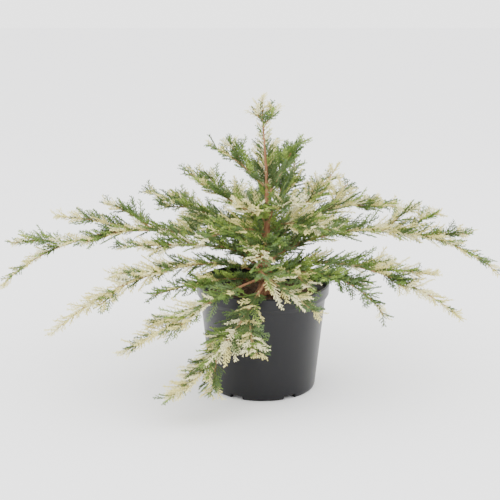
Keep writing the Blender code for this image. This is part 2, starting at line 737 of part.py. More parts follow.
def main():
    clear_scene()
    juniper = new_collection("potted_juniper")
    cutters = new_collection("cutters")
    pieces = new_collection("pieces")
    materials = {name: make_material(name) for name in COLOURS}
    add_pot(juniper, cutters, materials["pot_plastic"])
    add_soil(juniper, materials["compost"])
    add_trunk(juniper, materials["bark"])

    axes = {}
    for shoot in SHOOTS:
        stem = shoot_axis(shoot)
        axes[shoot.name] = [stem] + [fork_axis(stem, fork) for fork in shoot.forks]
    space = Space(axes)
    heights = np.arange(TRUNK_FOOT, TRUNK_TIP, PATH_STEP)
    space.add_limb([trunk_axis(height) for height in heights],
                   [trunk_radius(height) for height in heights])
    for shoot in SHOOTS:
        if shoot.bare:
            stem = axes[shoot.name][0]
            points, radii = stem_points(stem, 0.0, shoot.bare * MM, PATH_STEP)
            space.add_limb(points, radii)
    space.seal()

    unit = {
        "short_spray": make_spray_mesh(SHORT_SPRAY_RINGS),
        "long_spray": make_spray_mesh(LONG_SPRAY_RINGS),
        "twig": make_twig_mesh(),
    }
    for shoot in SHOOTS:
        if shoot.bare:
            add_bough(shoot, axes[shoot.name][0], space, juniper, materials["bark"])
        slot = "foliage_cream" if shoot.cream > 0.55 else "foliage_green"
        add_mass(shoot, axes[shoot.name], space, unit, juniper, pieces, materials[slot])


if __name__ == "__main__":
    main()
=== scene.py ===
"""Looks of a potted variegated creeping juniper, set round its CAD frame."""

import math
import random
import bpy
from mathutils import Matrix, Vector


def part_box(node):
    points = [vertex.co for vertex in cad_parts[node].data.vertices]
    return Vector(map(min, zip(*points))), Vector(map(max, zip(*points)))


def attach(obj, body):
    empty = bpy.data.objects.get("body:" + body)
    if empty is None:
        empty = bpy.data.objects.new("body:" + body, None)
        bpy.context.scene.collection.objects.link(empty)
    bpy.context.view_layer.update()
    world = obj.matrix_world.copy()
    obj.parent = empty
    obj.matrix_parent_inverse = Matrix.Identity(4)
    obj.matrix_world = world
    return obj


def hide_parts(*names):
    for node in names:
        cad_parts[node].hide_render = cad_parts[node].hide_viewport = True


bl_info = {
    "name": "Potted variegated juniper",
    "version": (1, 0, 0),
    "blender": (4, 5, 0),
    "location": "3D View > Sidebar > Juniper",
    "description": "Builds a potted creeping juniper with bark, twigs and needles",
    "category": "Add Mesh",
}

from collections import namedtuple

import bpy
import numpy as np
from bpy.props import FloatProperty, FloatVectorProperty, IntProperty, PointerProperty
from mathutils import Vector

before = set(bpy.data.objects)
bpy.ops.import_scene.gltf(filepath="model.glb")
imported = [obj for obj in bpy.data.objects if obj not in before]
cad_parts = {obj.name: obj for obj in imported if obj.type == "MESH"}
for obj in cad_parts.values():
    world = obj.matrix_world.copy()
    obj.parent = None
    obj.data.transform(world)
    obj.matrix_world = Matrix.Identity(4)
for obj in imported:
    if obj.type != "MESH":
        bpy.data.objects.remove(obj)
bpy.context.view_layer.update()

MM = 0.001
COMPOST_SEED = 5
BARK_SEED = 11
NEEDLE_SEED = 23

# The CAD nodes' own ends, read from the frame.
POT_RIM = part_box("pot")[1].x
POT_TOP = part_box("pot")[1].z
SOIL_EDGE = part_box("soil")[1].x
SOIL_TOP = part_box("soil")[1].z
TRUNK_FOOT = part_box("trunk")[0].z
TRUNK_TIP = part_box("trunk")[1].z

# The pot's other sizes, as in the source.
POT_WALL = 1.6 * MM
POT_BAND_FOOT = POT_TOP - 14.5 * MM
POT_SHOULDER = POT_BAND_FOOT - 6.0 * MM
POT_SHOULDER_RADIUS = 79.8 * MM
POT_BASE_RADIUS = 67.4 * MM
POT_POLE = 0.4 * MM
FOOT_WIDTH = 6.5 * MM
FOOT_HEIGHT = 6.0 * MM
BOSS_RADIUS = 32.0 * MM
NOTCH_COUNT = 6
NOTCH_WIDTH = 17.0 * MM
NOTCH_HEIGHT = 5.4 * MM
NOTCH_DEPTH = 26.0 * MM
DRAIN_RADIUS = 4.5 * MM
DRAIN_CIRCLE = 46.0 * MM
DRAIN_SIDES = 24

# The compost: a crown that falls to its edge, roughened by crumbs.
COMPOST_SIDES = 140
COMPOST_RINGS = 34
COMPOST_POLE = 0.5 * MM
COMPOST_SINK = 0.4 * MM
COMPOST_FALL = 2.4 * MM
COMPOST_SKIN = 4.0 * MM
COMPOST_BASE = 8.0 * MM
COMPOST_BASE_RADIUS = 66.5 * MM
CRUMB_DEPTH = 1.3 * MM
CRUMB_RISE = 0.35 * MM
CRUMB_EDGE = 1.5 * MM

# The trunk and the lines of the shoots, as in the source.
TRUNK_RADIUS = 7.0 * MM
TRUNK_TIP_RADIUS = 0.9 * MM
TRUNK_FLARE_RADIUS = 10.5 * MM
TRUNK_FLARE_HEIGHT = 14.0 * MM
TRUNK_LEAN = 5.0 * MM
FLARE_LOBES = 4
FLARE_LOBE_DEPTH = 0.16
LIMB_RADIUS = 1.3 * MM
LIMB_GROWTH = 0.0035
STEM_TIP_RADIUS = 0.7 * MM
FORK_ROOT_RADIUS = 1.15 * MM
GAP = 0.3 * MM
PATH_STEP = 3.0 * MM
PATH_SAMPLES = 400
TIP_HANDLE = 0.95

# The relief of the bark, as shares of a limb's radius.
TRUNK_SIDES = 20
TRUNK_RINGS = 150
BOUGH_SIDES = 10
BOUGH_RINGS_LEAST = 8
BOUGH_RING_MM = 1.5
RIDGE_FIRST = (-0.09, 0.06)
RIDGE_NEXT = (-0.22, 0.12)
RIDGE_KEPT = 0.86

# The room between masses, pot and floor.
SPACE_MARGIN = 0.6 * MM
LEAF_MINGLE = 6.0 * MM
FLOOR_CLEARANCE = 7.0 * MM

# Where leaves start on a line, as shares of its bare or whole length.
LEAFY_SHARE = 0.15
FRONT_LEAFY_SHARE = 0.75
FORK_BARE_SHARE = 0.12
FORK_SPRAY_SHARE = 0.72
TOP_SPRAY_SHARE = 0.5
LEADER_FOOT = 225.0 * MM

# How sprays stand on a line: angles in degrees, the rest as shares.
TWIG_ANGLE = 44.0
TWIG_ANGLE_SPREAD = 10.0
TWIG_ROLLS = (-24.0, 62.0)
FIRST_SPRAY = (0.2, 0.7)
LAST_SPRAY = 0.45
SPRAY_SIZES = (0.55, 1.1)
PITCH_SPREAD = (0.7, 1.3)
PITCH_AT_ROOT = 0.7
PITCH_RISE = 0.5
SAME_COLOUR_CHANCE = 0.45

# One spray: its twig, the room that it needs and its branchlets.
TWIG_ROOT_RADIUS = 0.55 * MM
TWIG_TIP_RADIUS = 0.3 * MM
TWIG_MIDDLE = 0.6
TWIG_MIDDLE_ROOM = 2.0 * MM
TWIG_TIP_ROOM = 0.8 * MM
SHORTER_TWIG = 0.6
SPRAY_TWIST = 0.6
BRANCHLET_START = 0.12
BRANCHLET_TAPER = 0.55
BRANCHLET_SIZES = (0.6, 1.1)
BRANCHLET_LIMIT = 0.62
BRANCHLET_ROLL = 0.5
BRANCHLET_ANGLES = (30.0, 46.0)
BRANCHLET_PITCHES = (0.75, 1.25)
CORE_START = 0.25
CORE_PAST_TIP = 0.06

# The short leaves that stand all round a stem: rolls in radians and angle in degrees.
STEM_LEAF_ROLLS = (0.0, 6.28)
STEM_LEAF_ANGLE = 32.0
STEM_LEAF_SIZES = (0.5, 0.8)
STEM_LEAF_TAPER = 0.4
STEM_LEAF_PITCH = 1.6
STEM_LEAF_ROOM = 0.6 * MM
LEAFY_END = 0.85
LEAFY_TIP = 9.0 * MM
PALE_TIP_CREAM = 0.25

# The bark of young stems and twigs, in short straight lengths.
STEM_SEGMENT = 4.0 * MM
STEM_END = 2.0 * MM
STEM_SIDES = 8
TWIG_SIDES = 3

# Needles: angle from their branchlet in degrees, the rest as shares.
NEEDLE_ANGLES = (20.0, 34.0)
NEEDLE_ROLL = 0.5
NEEDLE_SIZES = (0.8, 1.15)
NEEDLE_TAPER = 0.25
NEEDLE_OFFSET = 0.3

# How colours are dealt out to sprays, from a line's root to its tip.
COLOUR_NAMES = ("dark", "mid", "blue", "fresh", "cream", "pale")
CREAM_AT_ROOT = 0.05
CREAM_RISE = 1.5
CREAM_LIMIT = 1.15
PALE_AT_ROOT = 0.25
PALE_RISE = 0.3
# Dark sprays, more of them towards a line's root inside the crown, are partly older needles and partly
# painted shade.
DARK_AT_ROOT = 0.34
DARK_FALL = 0.15
BLUE_BELOW = 0.56
MID_BELOW = 0.86
CREAM_SHOOT = 0.55

# Each light: name, place, size in m and power in W.
LIGHTS = (
    ("key", (-1.2, -1.4, 2.2), 1.6, 20.0),
    ("fill", (1.6, -0.8, 1.6), 1.8, 12.0),
    ("edge_right", (1.7, 0.5, 0.5), 1.0, 12.0),
    ("edge_left", (-1.7, 0.5, 0.5), 1.0, 8.0),
)
LIGHT_AIM = Vector((0.0, 0.0, 0.15))

# Each shoot by the source's own sizes: where it leaves the trunk, its way and its tip, the
# bare mm that are a bough, its share of cream sprays, and its forks.
Shoot = namedtuple("Shoot", "name foot heading rise spring bearing reach height tilt bare cream forks")

SHOOTS = (
    Shoot("left_long", 155, 166, 42, 340, 173, 344, 119, -50, 40, 0.5,
          ((0.40, -24, 34, 76), (0.46, -12, 16, 112), (0.70, -14, 24, 84), (0.52, 34, -6, 46))),
    Shoot("left_front", 150, 204, 28, 280, 200, 271, 99, -42, 38, 0.8,
          ((0.40, 30, 8, 50), (0.52, -34, 20, 48), (0.66, 34, -8, 38))),
    Shoot("left_middle", 166, 188, 32, 170, 181, 182, 184, -2, 34, 0.4,
          ((0.50, -36, 20, 44), (0.60, 36, -4, 40))),
    Shoot("left_low", 138, 226, 26, 130, 212, 158, 143, -14, 34, 0.3,
          ((0.50, 36, 0, 40),)),
    Shoot("left_rising", 178, 150, 46, 170, 158, 163, 243, 22, 36, 0.3,
          ((0.40, 34, 4, 62), (0.58, -34, 0, 44), (0.64, 30, -14, 40))),
    Shoot("left_upper", 196, 128, 60, 120, 146, 122, 270, 38, 30, 0.3,
          ((0.46, 40, 6, 48), (0.58, -36, 12, 38))),
    Shoot("right_long", 164, 20, 34, 300, 12, 315, 134, -42, 40, 0.45,
          ((0.50, 24, 54, 52), (0.58, 20, 50, 54), (0.66, 16, 18, 68), (0.48, -32, -4, 44))),
    Shoot("right_back", 182, 38, 38, 230, 34, 240, 200, -22, 38, 0.5,
          ((0.46, 32, 40, 50), (0.58, -34, -4, 46))),
    Shoot("right_front", 150, 346, 28, 250, 340, 252, 118, -34, 36, 0.75,
          ((0.44, 30, 14, 50), (0.48, 20, 6, 92), (0.60, -30, -6, 38))),
    Shoot("right_low", 140, 316, 38, 180, 320, 185, 129, -52, 34, 0.05,
          ((0.46, -34, 6, 44), (0.58, 34, 4, 40))),
    Shoot("right_upper", 190, 24, 56, 110, 32, 110, 270, 44, 30, 0.6,
          ((0.46, -42, 0, 48), (0.60, 34, 4, 30))),
    Shoot("right_tall", 205, 70, 66, 90, 62, 92, 276, 58, 30, 0.3,
          ((0.46, -36, 8, 38), (0.52, 38, 8, 36))),
    Shoot("front_hanging", 132, 280, 38, 370, 233, 190, 37, -14, 104, 0.6,
          ((0.45, 62, 14, 60), (0.52, 104, 20, 50), (0.55, -44, 30, 34), (0.60, -30, 8, 42),
           (0.70, 60, -34, 46), (0.72, -24, 20, 40), (0.84, -14, 10, 34))),
    Shoot("front_left", 142, 262, 18, 330, 216, 208, 84, -30, 98, 0.6,
          ((0.58, 34, 0, 42), (0.64, -30, 14, 46))),
    Shoot("front_right", 160, 254, 18, 390, 303, 120, 126, -30, 92, 0.5,
          ((0.74, 28, 16, 28),)),
    Shoot("front_low_right", 150, 300, 34, 110, 302, 104, 152, -34, 30, 0.3,
          ((0.46, -34, 8, 32), (0.50, 34, 0, 30))),
    Shoot("back_right", 156, 56, 30, 230, 60, 236, 150, -36, 38, 0.5,
          ((0.42, 34, 10, 58), (0.58, -34, 6, 50))),
    Shoot("back_middle", 148, 96, 30, 220, 92, 246, 134, -40, 38, 0.6,
          ((0.40, 36, 8, 60), (0.48, -36, 6, 60), (0.66, 30, 0, 42))),
    Shoot("back_left", 166, 126, 32, 240, 122, 240, 148, -36, 38, 0.4,
          ((0.42, 34, 8, 58), (0.56, -34, 8, 50))),
    Shoot("back_rising", 186, 100, 46, 140, 104, 140, 232, 16, 34, 0.4,
          ((0.48, 36, 4, 46), (0.56, -36, 6, 40))),
    Shoot("leader_left", 262, 190, 44, 60, 182, 66, 312, 12, 0, 0.3,
          ((0.46, -36, 24, 32),)),
    Shoot("leader_right", 254, 350, 62, 60, 356, 49, 319, 48, 0, 0.1,
          ((0.35, 44, -4, 32), (0.45, -40, 0, 26))),
    Shoot("leader_back", 246, 84, 56, 60, 80, 58, 305, 40, 0, 0.4,
          ((0.40, -40, 4, 28),)),
    Shoot("leader_tip", 335, 200, 84, 12, 180, 2, 373, 86, 0, 0.95,
          ((0.10, 180, -60, 22), (0.20, 0, -50, 15))),
    Shoot("upright_front_left", 216, 236, 54, 50, 232, 52, 246, 30, 0, 0.9,
          ((0.40, 40, 0, 28),)),
    Shoot("upright_front_right", 226, 306, 50, 50, 314, 60, 248, 26, 0, 0.7,
          ((0.40, -38, 0, 30),)),
    Shoot("heart_front", 186, 272, 34, 80, 268, 84, 186, -24, 0, 0.4,
          ((0.35, 40, 4, 40), (0.40, -40, 4, 40))),
    Shoot("heart_front_left", 200, 222, 36, 90, 216, 94, 206, -8, 0, 0.2,
          ((0.38, 38, 0, 40), (0.44, -38, 4, 38))),
    Shoot("heart_front_right", 206, 328, 36, 90, 334, 96, 214, -6, 0, 0.5,
          ((0.38, 38, 4, 40), (0.44, -38, 0, 38))),
)


class JuniperPot(bpy.types.PropertyGroup):
    """Sizes and colour of the nursery pot and its compost."""
    sides: IntProperty(name="Sides", description="Faces round the pot", default=120, min=24)
    colour: FloatVectorProperty(name="Plastic", description="Colour of the pot's plastic",
                                subtype="COLOR", default=(0.0035, 0.0035, 0.0045))
    compost: FloatVectorProperty(name="Compost", description="Colour of the potting compost",
                                 subtype="COLOR", default=(0.040, 0.022, 0.013))
    crumb: FloatVectorProperty(name="Crumbs", description="Colour of the compost's dry crumbs",
                               subtype="COLOR", default=(0.12, 0.07, 0.04))


class JuniperFoliage(bpy.types.PropertyGroup):
    """Sizes and colours of the shoots, their branchlets and their needles."""
    spray_pitch: FloatProperty(name="Spray pitch", description="Space between sprays on a line",
                               default=1.9 * MM, unit="LENGTH")
    spray_length: FloatProperty(name="Spray length", description="Longest side spray",
                                default=38.0 * MM, unit="LENGTH")
    branchlet_pitch: FloatProperty(name="Branchlet pitch", description="Space between branchlets",
                                   default=2.6 * MM, unit="LENGTH")
    branchlet_length: FloatProperty(name="Branchlet length", description="Longest branchlet",
                                    default=10.5 * MM, unit="LENGTH")
    needle_pitch: FloatProperty(name="Needle pitch", description="Space between pairs of needles",
                                default=1.9 * MM, unit="LENGTH")
    needle_length: FloatProperty(name="Needle length", description="Length of one needle",
                                 default=3.1 * MM, unit="LENGTH")
    needle_width: FloatProperty(name="Needle width", description="Half width at a needle's root",
                                default=0.62 * MM, unit="LENGTH")
    # The dark green is partly the older needles' own colour and partly painted shade.
    dark: FloatVectorProperty(name="Dark green", description="Old shaded needles",
                              subtype="COLOR", default=(0.062, 0.105, 0.028))
    mid: FloatVectorProperty(name="Mid green", description="Common green needles",
                             subtype="COLOR", default=(0.135, 0.215, 0.042))
    blue: FloatVectorProperty(name="Blue green", description="Needles with a bloom",
                              subtype="COLOR", default=(0.110, 0.175, 0.060))
    fresh: FloatVectorProperty(name="Yellow green", description="Fresh growth",
                               subtype="COLOR", default=(0.260, 0.360, 0.070))
    cream: FloatVectorProperty(name="Cream", description="Variegated cream needles",
                               subtype="COLOR", default=(0.740, 0.680, 0.270))
    pale: FloatVectorProperty(name="Pale", description="The palest tips",
                              subtype="COLOR", default=(0.840, 0.800, 0.470))
    bark: FloatVectorProperty(name="Bark", description="Colour of the trunk and boughs",
                              subtype="COLOR", default=(0.230, 0.105, 0.052))
    ridge: FloatVectorProperty(name="Bark ridges", description="Colour of the bark's dry ridges",
                               subtype="COLOR", default=(0.36, 0.19, 0.10))
    twig: FloatVectorProperty(name="Young stems", description="Colour of the young stems",
                              subtype="COLOR", default=(0.420, 0.230, 0.120))
    sapling: FloatVectorProperty(name="Green stems", description="Green patches on young stems",
                                 subtype="COLOR", default=(0.20, 0.16, 0.06))
    spray_wood: FloatVectorProperty(name="Spray twigs", description="Colour of the sprays' twigs",
                                    subtype="COLOR", default=(0.16, 0.15, 0.05))


class JuniperStage(bpy.types.PropertyGroup):
    """Floor, lights and camera."""
    floor_size: FloatProperty(name="Floor", description="Side of the floor", default=12.0,
                              unit="LENGTH")
    floor_drop: FloatProperty(name="Floor drop", description="Floor's place under the pot",
                              default=0.2 * MM, unit="LENGTH")
    daylight: FloatProperty(name="Daylight", description="Strength of the white surroundings",
                            default=2.8)
    camera_back: FloatProperty(name="Camera distance", description="Camera's place along Y",
                               default=-1.5377, unit="LENGTH")
    camera_side: FloatProperty(name="Camera side", description="Camera's place along X",
                               default=-0.01643, unit="LENGTH")
    camera_height: FloatProperty(name="Camera height", description="Camera's height",
                                 default=0.5738, unit="LENGTH")
    camera_pitch: FloatProperty(name="Camera pitch", description="Tilt below level",
                                default=math.radians(14.41), subtype="ANGLE")
    lens: FloatProperty(name="Lens", description="Focal length in mm on a 36 mm sensor",
                        default=90.2)


def deselect_all():
    if bpy.context.mode != "OBJECT":
        bpy.ops.object.mode_set(mode="OBJECT")
    bpy.ops.object.select_all(action="DESELECT")


def select_only(piece):
    deselect_all()
    bpy.context.view_layer.objects.active = piece
    piece.select_set(True)


def plain_material(name, colour, roughness):
    """A shader of one base colour."""
    material = bpy.data.materials.new(name)
    material.use_nodes = True
    shader = material.node_tree.nodes["Principled BSDF"]
    shader.inputs["Base Color"].default_value = (*colour, 1.0)
    shader.inputs["Roughness"].default_value = roughness
    shader.inputs["Specular IOR Level"].default_value = 0.3
    return material


def add_noise(material, scale, detail, stretch=None):
    """Noise on object coordinates, and the socket of its values."""
    nodes = material.node_tree.nodes
    links = material.node_tree.links
    place = nodes.new("ShaderNodeTexCoord").outputs["Object"]
    if stretch:
        mapping = nodes.new("ShaderNodeMapping")
        mapping.inputs["Scale"].default_value = stretch
        links.new(place, mapping.inputs["Vector"])
        place = mapping.outputs["Vector"]
    noise = nodes.new("ShaderNodeTexNoise")
    noise.inputs["Scale"].default_value = scale
    noise.inputs["Detail"].default_value = detail
    links.new(place, noise.inputs["Vector"])
    return noise.outputs["Fac"]


def grained_material(name, colour, roughness, grain, relief):
    """One base colour with a fine grain in its surface."""
    material = plain_material(name, colour, roughness)
    nodes = material.node_tree.nodes
    links = material.node_tree.links
    bump = nodes.new("ShaderNodeBump")
    bump.inputs["Strength"].default_value = 0.6
    bump.inputs["Distance"].default_value = relief
    links.new(add_noise(material, grain, detail=4.0), bump.inputs["Height"])
    links.new(bump.outputs["Normal"], nodes["Principled BSDF"].inputs["Normal"])
    return material


def mottled_material(name, colour, second, scale, roughness, stretch, relief):
    """Two tones of one finish in patches, over a grain three times finer; on the pot the lighter tone
    is a painted sheen, elsewhere it is a real second colour.
    """
    material = grained_material(name, colour, roughness, 3.0 * scale, relief)
    nodes = material.node_tree.nodes
    links = material.node_tree.links
    ramp = nodes.new("ShaderNodeValToRGB")
    first_stop, last_stop = ramp.color_ramp.elements
    first_stop.position = 0.35
    first_stop.color = (*colour, 1.0)
    last_stop.position = 0.68
    last_stop.color = (*second, 1.0)
    links.new(add_noise(material, scale, detail=6.0, stretch=stretch), ramp.inputs["Fac"])
    links.new(ramp.outputs["Color"], nodes["Principled BSDF"].inputs["Base Color"])
    return material


def finish_piece(piece, material, slot, *nodes):
    """Give a piece its finish and its place in the frame, and hide the CAD nodes it stands for."""
    piece.data.materials.clear()
    piece.data.materials.append(material)
    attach(piece, "root")
    if nodes:
        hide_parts(*nodes)


def turn_rings(name, profile, sides):
    """A turned shape: a circle that is extruded and resized through (radius, height) points."""
    deselect_all()
    radius, height = profile[0]
    bpy.ops.mesh.primitive_circle_add(vertices=sides, radius=radius, location=(0.0, 0.0, height))
    piece = bpy.context.object
    piece.name = name
    bpy.ops.object.mode_set(mode="EDIT")
    bpy.ops.mesh.select_mode(type="EDGE")
    bpy.ops.mesh.select_all(action="SELECT")
    for next_radius, next_height in profile[1:]:
        bpy.ops.mesh.extrude_edges_move(
            TRANSFORM_OT_translate={"value": (0.0, 0.0, next_height - height)})
        size = next_radius / radius
        bpy.ops.transform.resize(value=(size, size, 1.0))
        radius, height = next_radius, next_height
    bpy.ops.mesh.select_all(action="SELECT")
    bpy.ops.mesh.remove_doubles(threshold=0.02 * MM)
    bpy.ops.mesh.fill_holes(sides=0)
    bpy.ops.mesh.normals_make_consistent(inside=False)
    bpy.ops.object.mode_set(mode="OBJECT")
    bpy.ops.object.transform_apply(location=True, rotation=True, scale=True)
    return piece


def cut_by(piece, cutter):
    """Cut a piece by another and remove the cutter."""
    boolean = piece.modifiers.new("Cut", "BOOLEAN")
    boolean.operation = "DIFFERENCE"
    boolean.object = cutter
    select_only(piece)
    bpy.ops.object.modifier_apply(modifier=boolean.name)
    bpy.data.objects.remove(cutter, do_unlink=True)


def pot_profile():
    """(radius, height) points of the pot: up its inside, over the rim, down and under it."""
    slope = (POT_SHOULDER_RADIUS - POT_BASE_RADIUS) / POT_SHOULDER
    floor_top = FOOT_HEIGHT + POT_WALL
    foot_inner = POT_BASE_RADIUS - FOOT_WIDTH
    return (
        (POT_POLE, POT_WALL),
        (BOSS_RADIUS - POT_WALL, POT_WALL),
        (BOSS_RADIUS - POT_WALL, floor_top),
        (POT_BASE_RADIUS + slope * floor_top - POT_WALL, floor_top),
        (POT_SHOULDER_RADIUS - POT_WALL, POT_SHOULDER),
        (POT_RIM - 0.8 * MM - POT_WALL, POT_BAND_FOOT),
        (POT_RIM - 1.0 * MM - POT_WALL, POT_TOP - 0.5 * MM),
        (POT_RIM - 2.0 * MM, POT_TOP),
        (POT_RIM - 1.0 * MM, POT_TOP),
        (POT_RIM, POT_TOP - 1.0 * MM),
        (POT_RIM - 0.8 * MM, POT_BAND_FOOT + 0.8 * MM),
        (POT_RIM - 1.5 * MM, POT_BAND_FOOT - 0.6 * MM),
        (POT_SHOULDER_RADIUS + 0.8 * MM, POT_SHOULDER + 1.0 * MM),
        (POT_SHOULDER_RADIUS, POT_SHOULDER - 0.6 * MM),
        (POT_BASE_RADIUS + slope * FOOT_HEIGHT, FOOT_HEIGHT),
        (POT_BASE_RADIUS - 0.2 * MM, 2.4 * MM),
        (POT_BASE_RADIUS - 0.9 * MM, 0.9 * MM),
        (POT_BASE_RADIUS - 2.2 * MM, 0.0),
        (foot_inner, 0.0),
        (foot_inner - 1.0 * MM, FOOT_HEIGHT),
        (BOSS_RADIUS + 1.0 * MM, FOOT_HEIGHT),
        (BOSS_RADIUS, 0.0),
        (POT_POLE, 0.0),
    )


def add_notch_cutter(angle):
    """A box across the foot ring."""
    deselect_all()
    middle = (POT_BASE_RADIUS * math.cos(angle), POT_BASE_RADIUS * math.sin(angle), 0.0)
    bpy.ops.mesh.primitive_cube_add(size=1.0, location=middle, rotation=(0.0, 0.0, angle),
                                    scale=(NOTCH_DEPTH, NOTCH_WIDTH, 2.0 * NOTCH_HEIGHT))
    return bpy.context.object


def add_drain_cutter(angle):
    """A short rod through the pot's floor."""
    deselect_all()
    middle = (DRAIN_CIRCLE * math.cos(angle), DRAIN_CIRCLE * math.sin(angle), FOOT_HEIGHT)
    bpy.ops.mesh.primitive_cylinder_add(vertices=DRAIN_SIDES, radius=DRAIN_RADIUS,
                                        depth=4.0 * POT_WALL, location=middle)
    return bpy.context.object


class JUNIPER_OT_pot(bpy.types.Operator):
    """Add the nursery pot: rim band, tapering wall, notched foot ring and drain holes"""
    bl_idname = "juniper.pot"
    bl_label = "Add pot"

    def execute(self, context):
        settings = context.scene.juniper_pot
        pot = turn_rings("pot_shell", pot_profile(), settings.sides)
        for index in range(NOTCH_COUNT):
            angle = 2.0 * math.pi * index / NOTCH_COUNT
            cut_by(pot, add_notch_cutter(angle))
            cut_by(pot, add_drain_cutter(angle))
        select_only(pot)
        bpy.ops.object.shade_smooth_by_angle(angle=math.radians(32.0))
        # The lighter second tone, 1.35 times the plastic's colour in upright streaks, is a painted
        # sheen that stands in for reflection on the black plastic.
        painted_sheen = [1.35 * part for part in settings.colour]
        material = mottled_material("pot_plastic", settings.colour, painted_sheen, scale=90.0,
                                    roughness=0.38, stretch=(1.0, 1.0, 0.25), relief=0.02 * MM)
        finish_piece(pot, material, "pot_plastic", "pot")
        return {"FINISHED"}


def compost_profile():
    """(radius, height) points of the compost: its crown, its edge and its base."""
    crown = SOIL_TOP - COMPOST_SINK
    rings = [(COMPOST_POLE, crown)]
    for step in range(1, COMPOST_RINGS + 1):
        share = step / COMPOST_RINGS
        rings.append((SOIL_EDGE * share, crown - COMPOST_FALL * share ** 2))
    rings.append((SOIL_EDGE - 1.0 * MM, SOIL_TOP - 8.0 * MM))
    rings.append((COMPOST_BASE_RADIUS, COMPOST_BASE))
    rings.append((COMPOST_POLE, COMPOST_BASE))
    return rings


class JUNIPER_OT_compost(bpy.types.Operator):
    """Add the compost: a rough mound that fills the pot"""
    bl_idname = "juniper.compost"
    bl_label = "Add compost"

    def execute(self, context):
        settings = context.scene.juniper_pot
        soil = turn_rings("compost_fill", compost_profile(), COMPOST_SIDES)
        self.roughen(soil.data)
        material = mottled_material("compost", settings.compost, settings.crumb, scale=260.0,
                                    roughness=0.95, stretch=(1.0, 1.0, 1.0), relief=0.6 * MM)
        finish_piece(soil, material, "compost", "soil")
        return {"FINISHED"}

    def roughen(self, mesh):
        """Raise and lower the points of the top between the trunk and the pot's wall."""
        chance = np.random.default_rng(COMPOST_SEED)
        places = np.empty(3 * len(mesh.vertices))
        mesh.vertices.foreach_get("co", places)
        places = places.reshape(-1, 3)
        reach = np.hypot(places[:, 0], places[:, 1])
        rough = places[:, 2] > SOIL_TOP - COMPOST_SKIN
        rough &= (reach > TRUNK_FLARE_RADIUS) & (reach < SOIL_EDGE - CRUMB_EDGE)
        places[rough, 2] += chance.uniform(-CRUMB_DEPTH, CRUMB_RISE, rough.sum())
        mesh.vertices.foreach_set("co", places.ravel())
        mesh.update()


def trunk_axis(height):
    """The middle of the trunk at a height."""
    share = min(max((height - TRUNK_FOOT) / (TRUNK_TIP - TRUNK_FOOT), 0.0), 1.0)
    sway = math.sin(math.pi * share)
    return Vector((TRUNK_LEAN * sway, 0.4 * TRUNK_LEAN * sway * sway, height))


def trunk_radius(height):
    """The trunk's radius at a height, with its root flare."""
    share = min(max((height - TRUNK_FOOT) / (TRUNK_TIP - TRUNK_FOOT), 0.0), 1.0)
    plain = TRUNK_RADIUS + (TRUNK_TIP_RADIUS - TRUNK_RADIUS) * share ** 0.72
    rise = min((height - TRUNK_FOOT) / TRUNK_FLARE_HEIGHT, 1.0)
    return plain + (TRUNK_FLARE_RADIUS - TRUNK_RADIUS) * (1.0 - rise) ** 2


def pointing(heading, tilt):
    """The unit direction of a heading and a tilt in degrees."""
    turn = math.radians(heading)
    lift = math.radians(tilt)
    return Vector((math.cos(turn) * math.cos(lift), math.sin(turn) * math.cos(lift), math.sin(lift)))


def hermite(start, start_pull, end, end_pull, share):
    square = share * share
    cube = square * share
    return ((2 * cube - 3 * square + 1) * start + (cube - 2 * square + share) * start_pull
            + (3 * square - 2 * cube) * end + (cube - square) * end_pull)


class Axis:
    """A curved middle line with a radius at each end, as in the source."""

    def __init__(self, start, start_pull, end, end_pull, root_radius, tip_radius):
        fine = [hermite(start, start_pull, end, end_pull, step / PATH_SAMPLES)
                for step in range(PATH_SAMPLES + 1)]
        runs = [0.0]
        for first, second in zip(fine, fine[1:]):
            runs.append(runs[-1] + (second - first).length)
        self.length = runs[-1]
        count = max(int(round(self.length / PATH_STEP)), 2)
        even_runs = np.linspace(0.0, self.length, count + 1)
        places = np.interp(even_runs, runs, np.arange(PATH_SAMPLES + 1))
        self.points = [hermite(start, start_pull, end, end_pull, float(place) / PATH_SAMPLES)
                       for place in places]
        self.root_radius = root_radius
        self.tip_radius = tip_radius

    def at(self, run):
        place = min(max(run / self.length, 0.0), 1.0) * (len(self.points) - 1)
        index = min(int(place), len(self.points) - 2)
        return self.points[index].lerp(self.points[index + 1], place - index)

    def along(self, run):
        step = 1.5 * PATH_STEP
        return (self.at(min(run + step, self.length)) - self.at(max(run - step, 0.0))).normalized()

    def radius(self, run):
        return self.root_radius + (self.tip_radius - self.root_radius) * min(run / self.length, 1.0)


def shoot_axis(shoot):
    """A shoot's line, from the trunk's surface to its tip."""
    height = shoot.foot * MM
    root_radius = LIMB_RADIUS + LIMB_GROWTH * shoot.reach * MM
    stand_off = trunk_radius(height) + GAP + root_radius * math.sin(math.radians(shoot.rise))
    start = trunk_axis(height) + pointing(shoot.heading, 0.0) * stand_off
    if height >= TRUNK_TIP - 0.5 * MM:
        start = trunk_axis(TRUNK_TIP) + Vector((0.0, 0.0, GAP))
    turn = math.radians(shoot.bearing)
    tip = Vector((math.cos(turn), math.sin(turn), 0.0)) * shoot.reach * MM
    tip.z = shoot.height * MM
    sweep = (shoot.bearing - shoot.heading + 180.0) % 360.0 - 180.0
    tip_direction = pointing(shoot.bearing + 0.8 * sweep, shoot.tilt)
    return Axis(start, pointing(shoot.heading, shoot.rise) * shoot.spring * MM, tip,
                tip_direction * TIP_HANDLE * (tip - start).length, root_radius, STEM_TIP_RADIUS)


